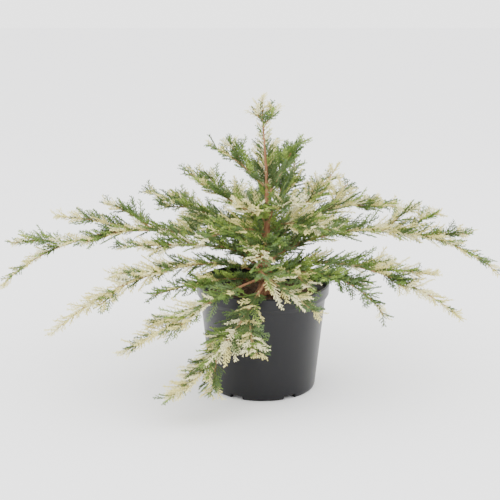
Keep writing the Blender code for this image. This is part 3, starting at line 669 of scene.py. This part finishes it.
def fork_axis(stem, fork):
    """A fork's line: its place on the stem, its turn and lift in degrees, and its mm."""
    place, turn, lift, length = fork
    run = place * stem.length
    along = stem.along(run)
    level = Vector((along.x, along.y, 0.0)).normalized()
    heading = math.degrees(math.atan2(level.y, level.x))
    tilt = math.degrees(math.asin(max(-1.0, min(1.0, along.z))))
    leaving = pointing(heading + turn, tilt + lift)
    ending = pointing(heading + 0.55 * turn, tilt + 0.3 * lift)
    start = stem.at(run)
    size = length * MM
    end = start + (leaving + ending).normalized() * size
    return Axis(start, leaving * size, end, ending * size, FORK_ROOT_RADIUS, STEM_TIP_RADIUS)


def pot_radius(height):
    """The pot's outer radius at a height, with the rim's for all above the shoulder."""
    if height >= POT_SHOULDER:
        return POT_RIM
    share = max(height, 0.0) / POT_SHOULDER
    return POT_BASE_RADIUS + share * (POT_SHOULDER_RADIUS - POT_BASE_RADIUS)


class Space:
    """The room that each mass may fill: its own side, with a few mm of mingled leaves."""

    def __init__(self, axes):
        self.lines = {name: np.array([point for axis in own for point in axis.points])
                      for name, own in axes.items()}
        self.others = {name: np.concatenate([line for other, line in self.lines.items()
                                             if other != name]) for name in self.lines}
        heights = np.arange(TRUNK_FOOT, TRUNK_TIP, PATH_STEP)
        self.limb_points = np.array([trunk_axis(height) for height in heights])
        self.limb_radii = np.array([trunk_radius(height) for height in heights])

    def allows(self, name, point, radius):
        place = np.array(point)
        own = np.linalg.norm(self.lines[name] - place, axis=1).min()
        if np.linalg.norm(self.others[name] - place, axis=1).min() < own - LEAF_MINGLE:
            return False
        clear = np.linalg.norm(self.limb_points - place, axis=1) - self.limb_radii
        return clear.min() > radius and self.clear_of_pot(point, radius)

    def clear_of_pot(self, point, radius):
        reach = math.hypot(point.x, point.y)
        room = radius + SPACE_MARGIN
        if point.z < FLOOR_CLEARANCE + radius:
            return False
        if point.z > POT_TOP + room or reach > pot_radius(point.z + room) + room:
            return True
        return reach + room < POT_SHOULDER_RADIUS - POT_WALL and point.z > SOIL_TOP + room


def side_way(along, roll, angle):
    """The direction at an angle to a line, rolled round it from the level."""
    level = Vector((0.0, 0.0, 1.0)).cross(along)
    level = level.normalized() if level.length > 0.05 else Vector((1.0, 0.0, 0.0))
    up = along.cross(level)
    outward = level * math.cos(roll) + up * math.sin(roll)
    return along * math.cos(angle) + outward * math.sin(angle)


def twig_length(share, scale):
    """A side spray's length by its place on the line: longest past the middle."""
    return scale * (0.42 + 0.58 * math.sin(math.pi * (1.0 - (1.0 - share) ** 1.4) ** 0.8))


def sprays_along(axis, start_run, scale, pitch, chance):
    """The source's rule at a finer pitch: place, share of the line, direction and length."""
    run = start_run + chance.uniform(*FIRST_SPRAY) * pitch
    side = chance.choice((0, 1))
    while run < axis.length - LAST_SPRAY * pitch:
        share = (run - start_run) / (axis.length - start_run)
        lift = math.radians(chance.uniform(*TWIG_ROLLS)) * (1 if side == 0 else -1)
        spread = chance.uniform(-TWIG_ANGLE_SPREAD, TWIG_ANGLE_SPREAD)
        length = twig_length(share, scale) * chance.uniform(*SPRAY_SIZES)
        direction = side_way(axis.along(run), math.pi * side + lift, math.radians(TWIG_ANGLE + spread))
        yield run, share, direction, length
        run += pitch * (PITCH_AT_ROOT + PITCH_RISE * share) * chance.uniform(*PITCH_SPREAD)
        side = 1 - side


def spray_colour(shoot, share, chance):
    """Cream comes in whole sprays, more of them towards a line's tip."""
    cream = shoot.cream * min(CREAM_AT_ROOT + CREAM_RISE * share, CREAM_LIMIT)
    if chance.random() < cream:
        return "pale" if chance.random() < PALE_AT_ROOT + PALE_RISE * share else "cream"
    draw = chance.random()
    if draw < DARK_AT_ROOT - DARK_FALL * share:
        return "dark"
    if draw < BLUE_BELOW:
        return "blue"
    return "mid" if draw < MID_BELOW else "fresh"


def plant_axes():
    """Each shoot's lines by its name, and the leader's own line, which is leafy too."""
    axes = {}
    for shoot in SHOOTS:
        stem = shoot_axis(shoot)
        axes[shoot.name] = [stem] + [fork_axis(stem, fork) for fork in shoot.forks]
    low = trunk_axis(LEADER_FOOT)
    high = trunk_axis(TRUNK_TIP)
    leader = Axis(low, high - low, high, high - low, STEM_TIP_RADIUS, STEM_TIP_RADIUS)
    axes["leader_back"].append(leader)
    return axes


class Growth:
    """Grows shoot by shoot: stems and twigs as tapering lines, and branchlets by colour."""

    def __init__(self, settings):
        self.settings = settings
        self.axes = plant_axes()
        self.space = Space(self.axes)
        self.stems = []
        self.twigs = []
        self.branchlets = {name: [] for name in COLOUR_NAMES}

    def grow_shoot(self, shoot):
        """A shoot's stem and then its forks, from the shoot's own seed."""
        self.shoot = shoot
        self.chance = random.Random(shoot.name)
        stem, *forks = self.axes[shoot.name]
        start_run = shoot.bare * MM + GAP if shoot.bare else 0.0
        leafy_share = FRONT_LEAFY_SHARE if shoot.name.startswith("front_") else LEAFY_SHARE
        stem_share = TOP_SPRAY_SHARE if shoot.name == "leader_tip" else 1.0
        self.grow_line(stem, start_run * leafy_share, self.settings.spray_length * stem_share)
        self.add_stem(stem, start_run)
        for fork in forks:
            self.grow_line(fork, FORK_BARE_SHARE * fork.length,
                           FORK_SPRAY_SHARE * self.settings.spray_length)
            self.add_stem(fork, 0.0)

    def grow_line(self, axis, start_run, scale):
        """The sprays of a stem or fork, the short leaves on the line itself and its tip."""
        pitch = self.settings.spray_pitch
        previous = None
        for run, share, direction, length in sprays_along(axis, start_run, scale, pitch, self.chance):
            colour = spray_colour(self.shoot, share, self.chance)
            if previous and self.chance.random() < SAME_COLOUR_CHANCE:
                colour = previous
            previous = colour
            self.grow_spray(colour, axis.at(run), direction, length)
        self.grow_stem_leaves(axis, start_run)
        tip_colour = "pale" if self.shoot.cream > PALE_TIP_CREAM else "mid"
        self.add_branchlet(tip_colour, axis.at(axis.length - LEAFY_TIP), axis.points[-1])

    def grow_stem_leaves(self, axis, start_run):
        """Single branchlets all round a line, and more freely at its end."""
        run = start_run
        while run < axis.length:
            share = (run - start_run) / (axis.length - start_run)
            roll = self.chance.uniform(*STEM_LEAF_ROLLS)
            way = side_way(axis.along(run), roll, math.radians(STEM_LEAF_ANGLE))
            size = self.settings.branchlet_length * self.chance.uniform(*STEM_LEAF_SIZES)
            size *= 1.0 - STEM_LEAF_TAPER * share
            colour = spray_colour(self.shoot, share, self.chance)
            root = axis.at(run)
            tip = root + way * size
            if self.space.allows(self.shoot.name, tip, STEM_LEAF_ROOM) or share > LEAFY_END:
                self.add_branchlet(colour, root, tip)
            run += STEM_LEAF_PITCH * self.settings.branchlet_pitch

    def grow_spray(self, colour, start, direction, length):
        """A straight twig with branchlets on both its sides, where there is room for it."""
        name = self.shoot.name
        if not self.space.allows(name, start + direction * (TWIG_MIDDLE * length), TWIG_MIDDLE_ROOM):
            return
        if not self.space.allows(name, start + direction * length, TWIG_TIP_ROOM):
            length *= SHORTER_TWIG
            if not self.space.allows(name, start + direction * length, TWIG_TIP_ROOM):
                return
        tip = start + direction * length
        self.twigs.append((*start, *tip, TWIG_ROOT_RADIUS, TWIG_TIP_RADIUS))
        twist = self.chance.uniform(-SPRAY_TWIST, SPRAY_TWIST)
        run = BRANCHLET_START * length
        side = self.chance.choice((0, 1))
        while run < length:
            size = self.settings.branchlet_length * (1.0 - BRANCHLET_TAPER * run / length)
            size = min(size * self.chance.uniform(*BRANCHLET_SIZES), BRANCHLET_LIMIT * length)
            roll = twist + math.pi * side + self.chance.uniform(-BRANCHLET_ROLL, BRANCHLET_ROLL)
            angle = math.radians(self.chance.uniform(*BRANCHLET_ANGLES))
            root = start + direction * run
            self.add_branchlet(colour, root, root + side_way(direction, roll, angle) * size)
            run += self.settings.branchlet_pitch * self.chance.uniform(*BRANCHLET_PITCHES)
            side = 1 - side
        self.add_branchlet(colour, start + direction * (CORE_START * length),
                           tip + direction * (CORE_PAST_TIP * length))

    def add_branchlet(self, colour, start, end):
        """A line that needles of one colour will stand on."""
        self.branchlets[colour].append((*start, *end))

    def add_stem(self, axis, start_run):
        """A line's bark in short straight lengths."""
        count = max(int(axis.length / STEM_SEGMENT), 3)
        runs = np.linspace(start_run, axis.length - STEM_END, count)
        for first, second in zip(runs, runs[1:]):
            self.stems.append((*axis.at(first), *axis.at(second),
                               axis.radius(first), axis.radius(second)))


def mesh_from_arrays(name, corners, faces):
    """A mesh object of triangles, in the scene."""
    mesh = bpy.data.meshes.new(name)
    mesh.from_pydata(corners.tolist(), [], faces.tolist())
    mesh.update()
    piece = bpy.data.objects.new(name, mesh)
    bpy.context.scene.collection.objects.link(piece)
    return piece


def across(along):
    """Two unit directions across each of many unit directions."""
    helper = np.where(np.abs(along[:, 2:3]) < 0.9, [[0.0, 0.0, 1.0]], [[1.0, 0.0, 0.0]])
    first = np.cross(helper, along)
    first /= np.linalg.norm(first, axis=1)[:, None]
    return first, np.cross(along, first)


def tube_mesh(name, lines, sides):
    """Straight tapering tubes in one mesh, from rows of start, end and two radii."""
    lines = np.array(lines)
    starts, ends = lines[:, :3], lines[:, 3:6]
    along = ends - starts
    along /= np.linalg.norm(along, axis=1)[:, None]
    first, second = across(along)
    angles = 2.0 * np.pi * np.arange(sides) / sides
    spokes = (first[:, None] * np.cos(angles)[None, :, None]
              + second[:, None] * np.sin(angles)[None, :, None])
    low = starts[:, None] + spokes * lines[:, 6, None, None]
    high = ends[:, None] + spokes * lines[:, 7, None, None]
    corners = np.concatenate([low, high], axis=1).reshape(-1, 3)
    base = (np.arange(len(lines)) * 2 * sides)[:, None]
    here = base + np.arange(sides)
    after = base + (np.arange(sides) + 1) % sides
    lower = np.stack([here, after, after + sides], axis=2).reshape(-1, 3)
    upper = np.stack([here, after + sides, here + sides], axis=2).reshape(-1, 3)
    return mesh_from_arrays(name, corners, np.concatenate([lower, upper]))


def needle_arrays(branchlets, settings, chance):
    """Root, direction and length of needles that stand in crossed pairs on branchlets."""
    lines = np.array(branchlets)
    starts, ends = lines[:, :3], lines[:, 3:6]
    lengths = np.linalg.norm(ends - starts, axis=1)
    along = (ends - starts) / lengths[:, None]
    first, second = across(along)
    pairs = np.maximum((lengths / settings.needle_pitch).astype(int), 2)
    owner = np.repeat(np.arange(len(lines)), pairs)
    order = np.concatenate([np.arange(count) for count in pairs])
    share = (order + NEEDLE_OFFSET) / pairs[owner]
    root = starts[owner] + along[owner] * (share * lengths[owner])[:, None]
    ways = []
    sizes = []
    for side in (0.0, np.pi):
        wobble = chance.uniform(-NEEDLE_ROLL, NEEDLE_ROLL, len(owner))
        roll = side + order * (np.pi / 2.0) + wobble
        outward = first[owner] * np.cos(roll)[:, None] + second[owner] * np.sin(roll)[:, None]
        angle = np.radians(chance.uniform(*NEEDLE_ANGLES, len(owner)))
        ways.append(along[owner] * np.cos(angle)[:, None] + outward * np.sin(angle)[:, None])
        sizes.append(settings.needle_length * (1.0 - NEEDLE_TAPER * share)
                     * chance.uniform(*NEEDLE_SIZES, len(owner)))
    return np.concatenate([root, root]), np.concatenate(ways), np.concatenate(sizes)


def needle_mesh(name, branchlets, settings, chance):
    """All the needles of one colour as one mesh of open three-sided spikes."""
    roots, ways, sizes = needle_arrays(branchlets, settings, chance)
    first, second = across(ways)
    corners = []
    for angle in (0.0, 2.0 * np.pi / 3.0, 4.0 * np.pi / 3.0):
        spoke = first * np.cos(angle) + second * np.sin(angle)
        corners.append(roots + spoke * settings.needle_width)
    corners.append(roots + ways * sizes[:, None])
    corners = np.stack(corners, axis=1).reshape(-1, 3)
    base = np.arange(len(roots)) * 4
    faces = np.concatenate([np.stack([base, base + 1, base + 3], axis=1),
                            np.stack([base + 1, base + 2, base + 3], axis=1),
                            np.stack([base + 2, base, base + 3], axis=1)])
    return mesh_from_arrays(name, corners, faces)


class LimbMesh:
    """The corners and faces of limbs with furrows that run along them."""

    def __init__(self):
        self.chance = np.random.default_rng(BARK_SEED)
        self.corners = []
        self.faces = []

    def add(self, points, radii, sides, upright=False):
        """One closed tapering limb; an upright one has level rings and lobes at its foot."""
        base = len(self.corners)
        ridge = self.chance.uniform(*RIDGE_FIRST, sides)
        for index, (point, radius) in enumerate(zip(points, radii)):
            first = Vector((1.0, 0.0, 0.0))
            second = Vector((0.0, 1.0, 0.0))
            lobe = 0.0
            if upright:
                lobe = max(1.0 - (point.z - TRUNK_FOOT) / TRUNK_FLARE_HEIGHT, 0.0)
            else:
                ahead = points[min(index + 1, len(points) - 1)] - points[max(index - 1, 0)]
                along = ahead.normalized()
                first = Vector((0.0, 0.0, 1.0)).cross(along).normalized()
                second = along.cross(first)
            change = self.chance.uniform(*RIDGE_NEXT, sides)
            ridge = RIDGE_KEPT * ridge + (1.0 - RIDGE_KEPT) * change
            for side in range(sides):
                angle = 2.0 * math.pi * side / sides
                size = radius * (1.0 + ridge[side])
                size *= 1.0 + FLARE_LOBE_DEPTH * lobe * math.cos(FLARE_LOBES * angle)
                spoke = first * math.cos(angle) + second * math.sin(angle)
                self.corners.append(tuple(point + spoke * size))
        self.join_rings(base, len(points), sides)

    def join_rings(self, base, rings, sides):
        """Triangles between a limb's rings and over its two ends."""
        for ring in range(rings - 1):
            for side in range(sides):
                here = base + ring * sides + side
                after = base + ring * sides + (side + 1) % sides
                self.faces.append((here, after, after + sides))
                self.faces.append((here, after + sides, here + sides))
        last = base + (rings - 1) * sides
        for side in range(1, sides - 1):
            self.faces.append((base, base + side + 1, base + side))
            self.faces.append((last, last + side, last + side + 1))


class JUNIPER_OT_limbs(bpy.types.Operator):
    """Add the trunk and boughs with the relief of their bark"""
    bl_idname = "juniper.limbs"
    bl_label = "Add trunk and boughs"

    def execute(self, context):
        settings = context.scene.juniper_foliage
        limbs = LimbMesh()
        heights = np.linspace(TRUNK_FOOT, TRUNK_TIP, TRUNK_RINGS)
        limbs.add([trunk_axis(height) for height in heights],
                  [trunk_radius(height) for height in heights], TRUNK_SIDES, upright=True)
        bare_shoots = [shoot for shoot in SHOOTS if shoot.bare]
        for shoot in bare_shoots:
            stem = shoot_axis(shoot)
            rings = max(int(shoot.bare / BOUGH_RING_MM), BOUGH_RINGS_LEAST)
            runs = np.linspace(0.0, shoot.bare * MM, rings)
            limbs.add([stem.at(run) for run in runs], [stem.radius(run) for run in runs], BOUGH_SIDES)
        piece = mesh_from_arrays("bark_limbs", np.array(limbs.corners), np.array(limbs.faces))
        select_only(piece)
        bpy.ops.object.shade_smooth()
        material = mottled_material("bark", settings.bark, settings.ridge, scale=420.0,
                                    roughness=0.85, stretch=(1.0, 1.0, 0.3), relief=0.5 * MM)
        boughs = [f"bough_{shoot.name}" for shoot in bare_shoots]
        finish_piece(piece, material, "bark", "trunk", *boughs)
        return {"FINISHED"}


class JUNIPER_OT_foliage(bpy.types.Operator):
    """Grow the masses: stems, twigs, branchlets and needles by the source's rule"""
    bl_idname = "juniper.foliage"
    bl_label = "Grow foliage"

    def execute(self, context):
        settings = context.scene.juniper_foliage
        growth = Growth(settings)
        for shoot in SHOOTS:
            growth.grow_shoot(shoot)
        self.add_wood(growth, settings)
        self.add_needles(growth, settings)
        return {"FINISHED"}

    def add_wood(self, growth, settings):
        """Young stems in tan bark, and the sprays' twigs in green wood."""
        stems = tube_mesh("young_stems", growth.stems, STEM_SIDES)
        material = mottled_material("young_bark", settings.twig, settings.sapling, scale=300.0,
                                    roughness=0.7, stretch=(1.0, 1.0, 1.0), relief=0.2 * MM)
        greens = [f"foliage_{shoot.name}" for shoot in SHOOTS if shoot.cream <= CREAM_SHOOT]
        finish_piece(stems, material, "bark", *greens)
        twigs = tube_mesh("spray_twigs", growth.twigs, TWIG_SIDES)
        material = grained_material("green_wood", settings.spray_wood, 0.7, grain=300.0,
                                    relief=0.1 * MM)
        finish_piece(twigs, material, "bark")

    def add_needles(self, growth, settings):
        """One piece for each colour."""
        creams = [f"foliage_{shoot.name}" for shoot in SHOOTS if shoot.cream > CREAM_SHOOT]
        chance = np.random.default_rng(NEEDLE_SEED)
        for name in COLOUR_NAMES:
            needles = needle_mesh(f"needles_{name}", growth.branchlets[name], settings, chance)
            material = plain_material(f"needle_{name}", getattr(settings, name), 0.55)
            slot = "foliage_cream" if name in ("cream", "pale") else "foliage_green"
            replaced = creams if name == "cream" else ()
            finish_piece(needles, material, slot, *replaced)


class JUNIPER_OT_stage(bpy.types.Operator):
    """Add the pale floor, the soft lights and the camera"""
    bl_idname = "juniper.stage"
    bl_label = "Add stage"

    def execute(self, context):
        settings = context.scene.juniper_stage
        deselect_all()
        bpy.ops.mesh.primitive_plane_add(size=settings.floor_size,
                                         location=(0.0, 0.0, -settings.floor_drop))
        floor = bpy.context.object
        floor.name = "floor"
        floor.data.materials.append(plain_material("floor_white", (0.92, 0.92, 0.93), 0.9))
        world = bpy.data.worlds.new("studio")
        world.use_nodes = True
        background = world.node_tree.nodes["Background"]
        background.inputs["Color"].default_value = (1.0, 1.0, 1.0, 1.0)
        background.inputs["Strength"].default_value = settings.daylight
        context.scene.world = world
        for name, place, size, power in LIGHTS:
            self.add_light(name, place, size, power)
        self.add_camera(settings)
        return {"FINISHED"}

    def add_light(self, name, place, size, power):
        lamp = bpy.data.lights.new(name, "AREA")
        lamp.size = size
        lamp.energy = power
        thing = bpy.data.objects.new(name, lamp)
        thing.location = place
        thing.rotation_euler = (LIGHT_AIM - thing.location).to_track_quat("-Z", "Y").to_euler()
        bpy.context.scene.collection.objects.link(thing)

    def add_camera(self, settings):
        camera = bpy.data.objects.new("camera", bpy.data.cameras.new("camera"))
        camera.data.lens = settings.lens
        camera.data.sensor_width = 36.0
        camera.location = (settings.camera_side, settings.camera_back, settings.camera_height)
        camera.rotation_euler = (math.radians(90.0) - settings.camera_pitch, 0.0, 0.0)
        bpy.context.scene.collection.objects.link(camera)
        bpy.context.scene.camera = camera


class JUNIPER_PT_panel(bpy.types.Panel):
    """The juniper's pieces in the sidebar"""
    bl_idname = "JUNIPER_PT_panel"
    bl_label = "Potted juniper"
    bl_space_type = "VIEW_3D"
    bl_region_type = "UI"
    bl_category = "Juniper"

    def draw(self, context):
        for operator in OPERATORS:
            self.layout.operator(operator.bl_idname)
        for settings in (context.scene.juniper_pot, context.scene.juniper_foliage,
                         context.scene.juniper_stage):
            box = self.layout.box()
            for name in settings.bl_rna.properties.keys():
                if name not in ("rna_type", "name"):
                    box.prop(settings, name)


OPERATORS = (JUNIPER_OT_pot, JUNIPER_OT_compost, JUNIPER_OT_limbs, JUNIPER_OT_foliage,
             JUNIPER_OT_stage)
GROUPS = (JuniperPot, JuniperFoliage, JuniperStage)


def register():
    for kind in GROUPS + OPERATORS + (JUNIPER_PT_panel,):
        bpy.utils.register_class(kind)
    bpy.types.Scene.juniper_pot = PointerProperty(type=JuniperPot)
    bpy.types.Scene.juniper_foliage = PointerProperty(type=JuniperFoliage)
    bpy.types.Scene.juniper_stage = PointerProperty(type=JuniperStage)


def unregister():
    del bpy.types.Scene.juniper_stage
    del bpy.types.Scene.juniper_foliage
    del bpy.types.Scene.juniper_pot
    for kind in reversed(GROUPS + OPERATORS + (JUNIPER_PT_panel,)):
        bpy.utils.unregister_class(kind)


def main():
    register()
    bpy.ops.juniper.stage()
    bpy.ops.juniper.pot()
    bpy.ops.juniper.compost()
    bpy.ops.juniper.limbs()
    bpy.ops.juniper.foliage()


if __name__ == "__main__":
    main()
